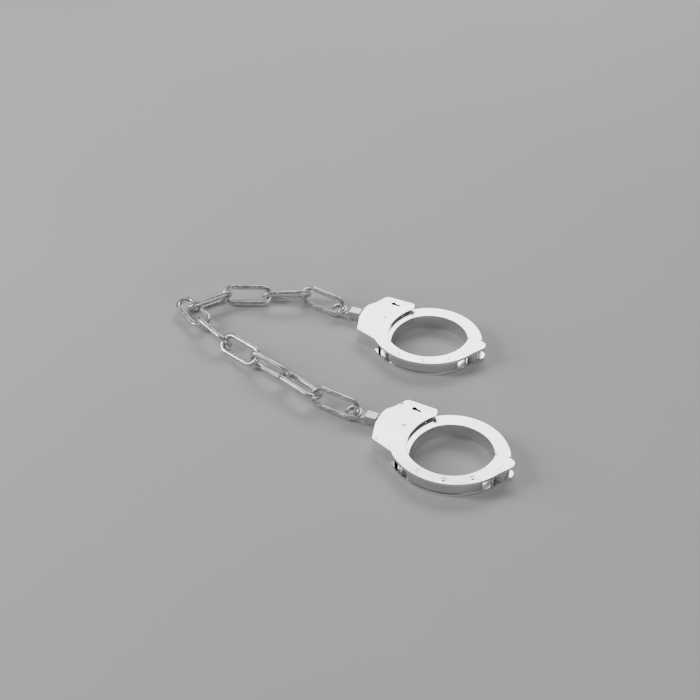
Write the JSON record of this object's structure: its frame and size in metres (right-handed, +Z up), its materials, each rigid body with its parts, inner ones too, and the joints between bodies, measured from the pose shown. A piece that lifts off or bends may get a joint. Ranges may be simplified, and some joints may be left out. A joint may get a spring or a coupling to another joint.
{
  "type": "handcuffs",
  "caption": "Pair of flat steel handcuffs with swinging toothed arms, laid out with a long linked chain between their swivel eyes.",
  "frame": {"origin": "centre of the laid-out set's bounding box, on the plane it rests on", "axes": "+Z up from the rest plane, +X towards the pivots of the arms, +Y from the near cuff to the far cuff"},
  "size_m": [0.2372, 0.2116, 0.0162],
  "materials": {
    "nickel_plate": "polished nickel plate with fine scratches",
    "satin_steel": "satin",
    "chain_wire": "bright plated wire",
    "hard_steel": "machined",
    "spring_steel": "blued"
  },
  "bodies": {
    "near_cuff": {"near_bottom_cheek": "nickel_plate", "near_top_cheek": "nickel_plate", "near_lock_frame": "nickel_plate", "near_bow_spacer": "satin_steel", "near_frame_rivets": "nickel_plate", "near_pivot_rivet": "nickel_plate", "near_pawl_pin": "satin_steel", "near_pawl_spring": "spring_steel", "near_key_post": "satin_steel"},
    "near_arm": {"near_ratchet_arm": "nickel_plate"},
    "near_pawl": {"near_pawl": "hard_steel"},
    "near_swivel": {"near_swivel": "satin_steel"},
    "link_01": {"chain_link_01": "chain_wire"},
    "link_02": {"chain_link_02": "chain_wire"},
    "link_03": {"chain_link_03": "chain_wire"},
    "link_04": {"chain_link_04": "chain_wire"},
    "link_05": {"chain_link_05": "chain_wire"},
    "link_06": {"chain_link_06": "chain_wire"},
    "link_07": {"chain_link_07": "chain_wire"},
    "link_08": {"chain_link_08": "chain_wire"},
    "link_09": {"chain_link_09": "chain_wire"},
    "link_10": {"chain_link_10": "chain_wire"},
    "far_cuff": {"far_bottom_cheek": "nickel_plate", "far_top_cheek": "nickel_plate", "far_lock_frame": "nickel_plate", "far_bow_spacer": "satin_steel", "far_frame_rivets": "nickel_plate", "far_pivot_rivet": "nickel_plate", "far_pawl_pin": "satin_steel", "far_pawl_spring": "spring_steel", "far_key_post": "satin_steel"},
    "far_arm": {"far_ratchet_arm": "nickel_plate"},
    "far_pawl": {"far_pawl": "hard_steel"},
    "far_swivel": {"far_swivel": "satin_steel"}
  },
  "joints": [
    {"name": "near_arm_pivot", "type": "hinge", "parent": "near_cuff", "child": "near_arm", "pos_m": [0.10832, -0.09017, 0.0056], "axis": [0, 0, -1], "range_deg": [0, 110]},
    {"name": "near_pawl_rock", "type": "hinge", "parent": "near_cuff", "child": "near_pawl", "pos_m": [0.04864, -0.05049, 0.0056], "axis": [0, 0, 1], "range_deg": [0, 6], "stiffness_Nm_per_rad": 0.002, "springref_deg": 7.2},
    {"name": "near_swivel_turn", "type": "hinge", "parent": "near_cuff", "child": "near_swivel", "pos_m": [0.03251, -0.03987, 0.0056], "axis": [-0.91, 0.4147, 0], "continuous": true},
    {"name": "near_eye_to_link_01", "type": "hinge", "parent": "near_swivel", "child": "link_01", "pos_m": [0.01558, -0.03215, 0.0072], "axis": [0, 0, 1], "range_deg": [0, 25]},
    {"name": "link_01_to_link_02", "type": "hinge", "parent": "link_01", "child": "link_02", "pos_m": [-0.01043, -0.01725, 0.0082], "axis": [0.6025, 0.7981, 0], "range_deg": [0, 12]},
    {"name": "link_02_to_link_03", "type": "hinge", "parent": "link_02", "child": "link_03", "pos_m": [-0.03191, 0.0037, 0.00803], "axis": [0, 0, 1], "range_deg": [0, 6]},
    {"name": "link_03_to_link_04", "type": "hinge", "parent": "link_03", "child": "link_04", "pos_m": [-0.05505, 0.02278, 0.00821], "axis": [0.6613, 0.7501, 0], "range_deg": [0, 9]},
    {"name": "link_04_to_link_05", "type": "hinge", "parent": "link_04", "child": "link_05", "pos_m": [-0.07687, 0.04334, 0.00697], "axis": [0, 0, 1], "range_deg": [0, 12]},
    {"name": "link_05_to_link_06", "type": "hinge", "parent": "link_05", "child": "link_06", "pos_m": [-0.09583, 0.06659, 0.00696], "axis": [0.8007, 0.599, 0], "range_deg": [0, 10]},
    {"name": "link_06_to_link_07", "type": "hinge", "parent": "link_06", "child": "link_07", "pos_m": [-0.10946, 0.0878, 0.00674], "axis": [0, 0, 1], "range_deg": [0, 10]},
    {"name": "link_07_to_link_08", "type": "hinge", "parent": "link_07", "child": "link_08", "pos_m": [-0.08035, 0.09957, 0.00737], "axis": [0.2647, -0.9643, 0], "range_deg": [0, 8]},
    {"name": "link_08_to_link_09", "type": "hinge", "parent": "link_08", "child": "link_09", "pos_m": [-0.05035, 0.09957, 0.00698], "axis": [0, 0, 1], "range_deg": [0, 12]},
    {"name": "link_09_to_link_10", "type": "hinge", "parent": "link_09", "child": "link_10", "pos_m": [-0.02038, 0.09973, 0.0082], "axis": [-0.2765, -0.961, 0], "range_deg": [0, 8]},
    {"name": "link_10_to_far_eye", "type": "hinge", "parent": "link_10", "child": "far_swivel", "pos_m": [0.00494, 0.08367, 0.00713], "axis": [0, 0, 1], "range_deg": [-12, 12]},
    {"name": "far_swivel_turn", "type": "hinge", "parent": "far_swivel", "child": "far_cuff", "pos_m": [0.02222, 0.07679, 0.0056], "axis": [-0.9291, 0.3697, 0], "continuous": true},
    {"name": "far_arm_pivot", "type": "hinge", "parent": "far_cuff", "child": "far_arm", "pos_m": [0.1004, 0.03025, 0.0056], "axis": [0, 0, -1], "range_deg": [0, 110]},
    {"name": "far_pawl_rock", "type": "hinge", "parent": "far_cuff", "child": "far_pawl", "pos_m": [0.03885, 0.06696, 0.0056], "axis": [0, 0, 1], "range_deg": [0, 6], "stiffness_Nm_per_rad": 0.002, "springref_deg": 7.2}
  ]
}
